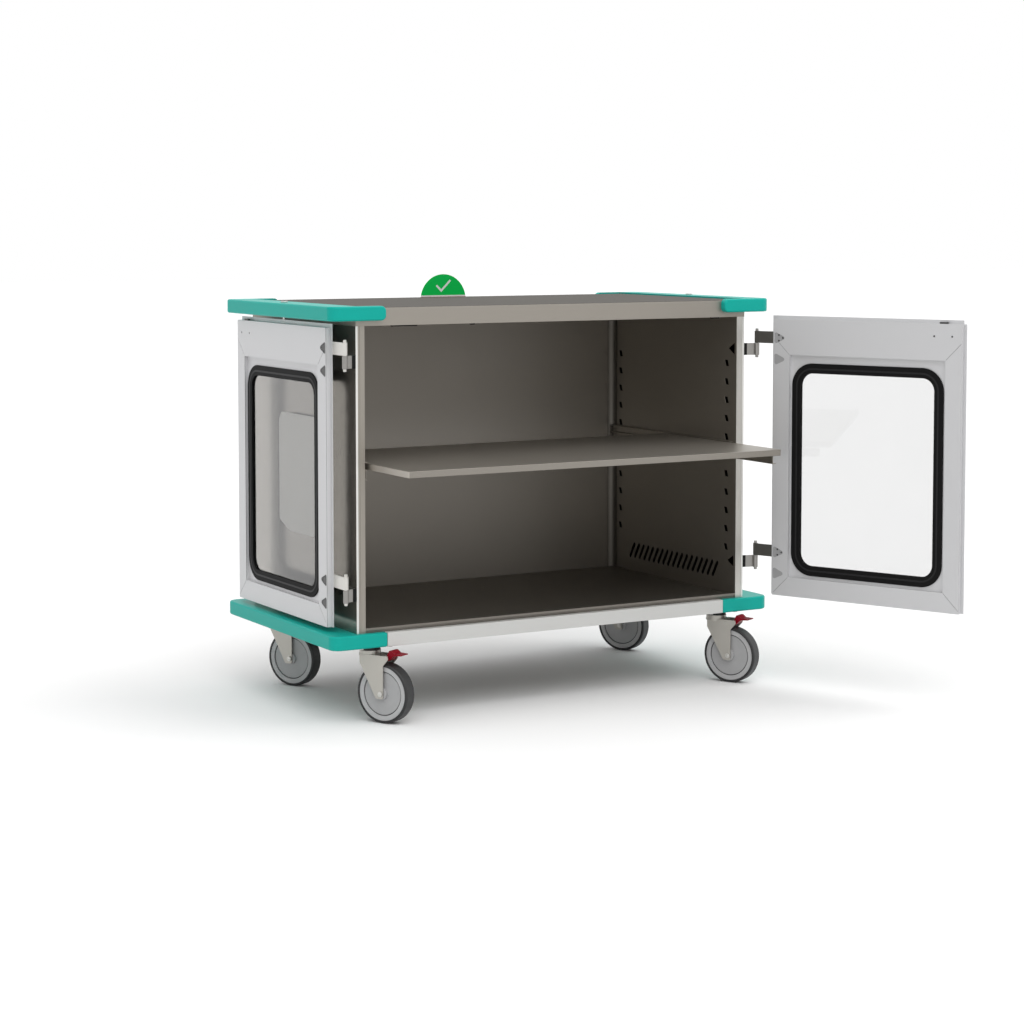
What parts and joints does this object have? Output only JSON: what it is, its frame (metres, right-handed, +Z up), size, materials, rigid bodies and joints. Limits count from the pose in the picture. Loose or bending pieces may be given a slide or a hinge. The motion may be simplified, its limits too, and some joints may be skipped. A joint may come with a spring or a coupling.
{
  "type": "closed case cart",
  "caption": "Closed case cart with glazed doors that fold round to the sides, a pull-out shelf, wrap-round bumpers and braked swivel casters.",
  "frame": {"origin": "on the floor under the middle of the cabinet", "axes": "+X to the right of someone facing the doors, doors face -Y, +Z up"},
  "size_m": [1.5167, 1.2242, 1.0965],
  "materials": {
    "cabinet_steel": "fine brushed stainless sheet, warm grey",
    "base_steel": "satin light grey",
    "door_metal": "satin, light grey",
    "bright_steel": "bright satin",
    "fork_steel": "satin pressed stainless",
    "slide_steel": "satin",
    "race_steel": "dark satin",
    "bumper_plastic": "moulded, soft satin, teal",
    "disc_plastic": "printed, satin",
    "latch_plastic": "moulded, satin black",
    "black_rubber": "extruded rubber, semi-matt",
    "clear_pane": "clear, polished",
    "wheel_plastic": "moulded, light grey",
    "tread_rubber": "smooth, dark grey",
    "pedal_plastic": "moulded, satin red"
  },
  "bodies": {
    "cabinet": {"base_frame": "base_steel", "floor_panel": "cabinet_steel", "left_side_wall": "cabinet_steel", "right_side_wall": "cabinet_steel", "back_panel": "cabinet_steel", "top_panel": "cabinet_steel", "left_top_bumper": "bumper_plastic", "right_top_bumper": "bumper_plastic", "left_bottom_bumper": "bumper_plastic", "right_bottom_bumper": "bumper_plastic", "kick_rails": "base_steel", "document_pocket": "cabinet_steel", "disc_bracket": "bright_steel", "shelf_rails": "slide_steel", "left_hinge_leaves": "bright_steel", "right_hinge_leaves": "bright_steel", "left_hinge_pins": "bright_steel", "right_hinge_pins": "bright_steel", "caster_plates": "race_steel", "caster_bolts": "bright_steel"},
    "left_door": {"left_door_skin": "door_metal", "left_door_frame": "door_metal", "left_window_rubber": "black_rubber", "left_window_pane": "clear_pane", "left_latch_case": "latch_plastic", "left_hinge_arms": "bright_steel"},
    "right_door": {"right_door_skin": "door_metal", "right_door_frame": "door_metal", "right_window_rubber": "black_rubber", "right_window_pane": "clear_pane", "right_latch_case": "latch_plastic", "right_hinge_arms": "bright_steel"},
    "left_latch": {"left_latch_bolt": "race_steel"},
    "right_latch": {"right_latch_bolt": "race_steel"},
    "shelf": {"shelf": "cabinet_steel", "shelf_runners": "slide_steel"},
    "disc": {"status_disc": "disc_plastic"},
    "left_hold_pin": {"left_plunger": "bright_steel"},
    "right_hold_pin": {"right_plunger": "bright_steel"},
    "front_left_swivel": {"front_left_fork": "fork_steel", "front_left_axle": "bright_steel"},
    "front_left_wheel": {"front_left_wheel": "wheel_plastic", "front_left_tyre": "tread_rubber"},
    "front_left_pedal": {"front_left_brake_pedal": "pedal_plastic"},
    "front_right_swivel": {"front_right_fork": "fork_steel", "front_right_axle": "bright_steel"},
    "front_right_wheel": {"front_right_wheel": "wheel_plastic", "front_right_tyre": "tread_rubber"},
    "front_right_pedal": {"front_right_brake_pedal": "pedal_plastic"},
    "rear_left_swivel": {"rear_left_fork": "fork_steel", "rear_left_axle": "bright_steel"},
    "rear_left_wheel": {"rear_left_wheel": "wheel_plastic", "rear_left_tyre": "tread_rubber"},
    "rear_left_pedal": {"rear_left_brake_pedal": "pedal_plastic"},
    "rear_right_swivel": {"rear_right_fork": "fork_steel", "rear_right_axle": "bright_steel"},
    "rear_right_wheel": {"rear_right_wheel": "wheel_plastic", "rear_right_tyre": "tread_rubber"},
    "rear_right_pedal": {"rear_right_brake_pedal": "pedal_plastic"}
  },
  "joints": [
    {"name": "left_door_hinge", "type": "hinge", "parent": "cabinet", "child": "left_door", "pos_m": [-0.6147, -0.324, 0.6], "axis": [0, 0, 1], "range_deg": [0, 270]},
    {"name": "right_door_hinge", "type": "hinge", "parent": "cabinet", "child": "right_door", "pos_m": [0.6147, -0.324, 0.6], "axis": [0, 0, 1], "range_deg": [-114, 156]},
    {"name": "shelf_slide", "type": "slide", "parent": "cabinet", "child": "shelf", "axis": [0, 1, 0], "range_m": [0, 0.284]},
    {"name": "left_latch_slide", "type": "slide", "parent": "left_door", "child": "left_latch", "axis": [0, 0, 1], "range_m": [0, 0.008]},
    {"name": "right_latch_slide", "type": "slide", "parent": "right_door", "child": "right_latch", "axis": [0, 0, 1], "range_m": [0, 0.008]},
    {"name": "disc_turn", "type": "hinge", "parent": "cabinet", "child": "disc", "pos_m": [0, 0.318, 1.0255], "axis": [0, 1, 0], "range_deg": [0, 180]},
    {"name": "left_pin_lift", "type": "slide", "parent": "cabinet", "child": "left_hold_pin", "axis": [0, 0, 1], "range_m": [0, 0.012], "stiffness_N_per_m": 400, "springref_m": -0.004},
    {"name": "right_pin_lift", "type": "slide", "parent": "cabinet", "child": "right_hold_pin", "axis": [0, 0, 1], "range_m": [0, 0.012], "stiffness_N_per_m": 400, "springref_m": -0.004},
    {"name": "front_left_swivel_turn", "type": "hinge", "parent": "cabinet", "child": "front_left_swivel", "pos_m": [-0.5235, -0.272, 0.1715], "axis": [0, 0, 1], "continuous": true},
    {"name": "front_left_wheel_roll", "type": "hinge", "parent": "front_left_swivel", "child": "front_left_wheel", "pos_m": [-0.50079, -0.31315, 0.075], "axis": [0.8755, 0.4833, 0], "continuous": true},
    {"name": "front_left_pedal_press", "type": "hinge", "parent": "front_left_swivel", "child": "front_left_pedal", "pos_m": [-0.49499, -0.32365, 0.162], "axis": [0.8755, 0.4833, 0], "range_deg": [0, 12]},
    {"name": "front_right_swivel_turn", "type": "hinge", "parent": "cabinet", "child": "front_right_swivel", "pos_m": [0.5235, -0.272, 0.1715], "axis": [0, 0, 1], "continuous": true},
    {"name": "front_right_wheel_roll", "type": "hinge", "parent": "front_right_swivel", "child": "front_right_wheel", "pos_m": [0.54621, -0.31315, 0.075], "axis": [0.8755, 0.4833, 0], "continuous": true},
    {"name": "front_right_pedal_press", "type": "hinge", "parent": "front_right_swivel", "child": "front_right_pedal", "pos_m": [0.55201, -0.32365, 0.162], "axis": [0.8755, 0.4833, 0], "range_deg": [0, 12]},
    {"name": "rear_left_swivel_turn", "type": "hinge", "parent": "cabinet", "child": "rear_left_swivel", "pos_m": [-0.5235, 0.272, 0.1715], "axis": [0, 0, 1], "continuous": true},
    {"name": "rear_left_wheel_roll", "type": "hinge", "parent": "rear_left_swivel", "child": "rear_left_wheel", "pos_m": [-0.50079, 0.23085, 0.075], "axis": [0.8755, 0.4833, 0], "continuous": true},
    {"name": "rear_left_pedal_press", "type": "hinge", "parent": "rear_left_swivel", "child": "rear_left_pedal", "pos_m": [-0.49499, 0.22035, 0.162], "axis": [0.8755, 0.4833, 0], "range_deg": [0, 12]},
    {"name": "rear_right_swivel_turn", "type": "hinge", "parent": "cabinet", "child": "rear_right_swivel", "pos_m": [0.5235, 0.272, 0.1715], "axis": [0, 0, 1], "continuous": true},
    {"name": "rear_right_wheel_roll", "type": "hinge", "parent": "rear_right_swivel", "child": "rear_right_wheel", "pos_m": [0.54621, 0.23085, 0.075], "axis": [0.8755, 0.4833, 0], "continuous": true},
    {"name": "rear_right_pedal_press", "type": "hinge", "parent": "rear_right_swivel", "child": "rear_right_pedal", "pos_m": [0.55201, 0.22035, 0.162], "axis": [0.8755, 0.4833, 0], "range_deg": [0, 12]}
  ],
  "couplings": [
    {"joint": "right_door_hinge", "follows": "left_door_hinge", "ratio": -0.42222},
    {"joint": "shelf_slide", "follows": "left_door_hinge", "m_per_rad": 0.060267}
  ]
}
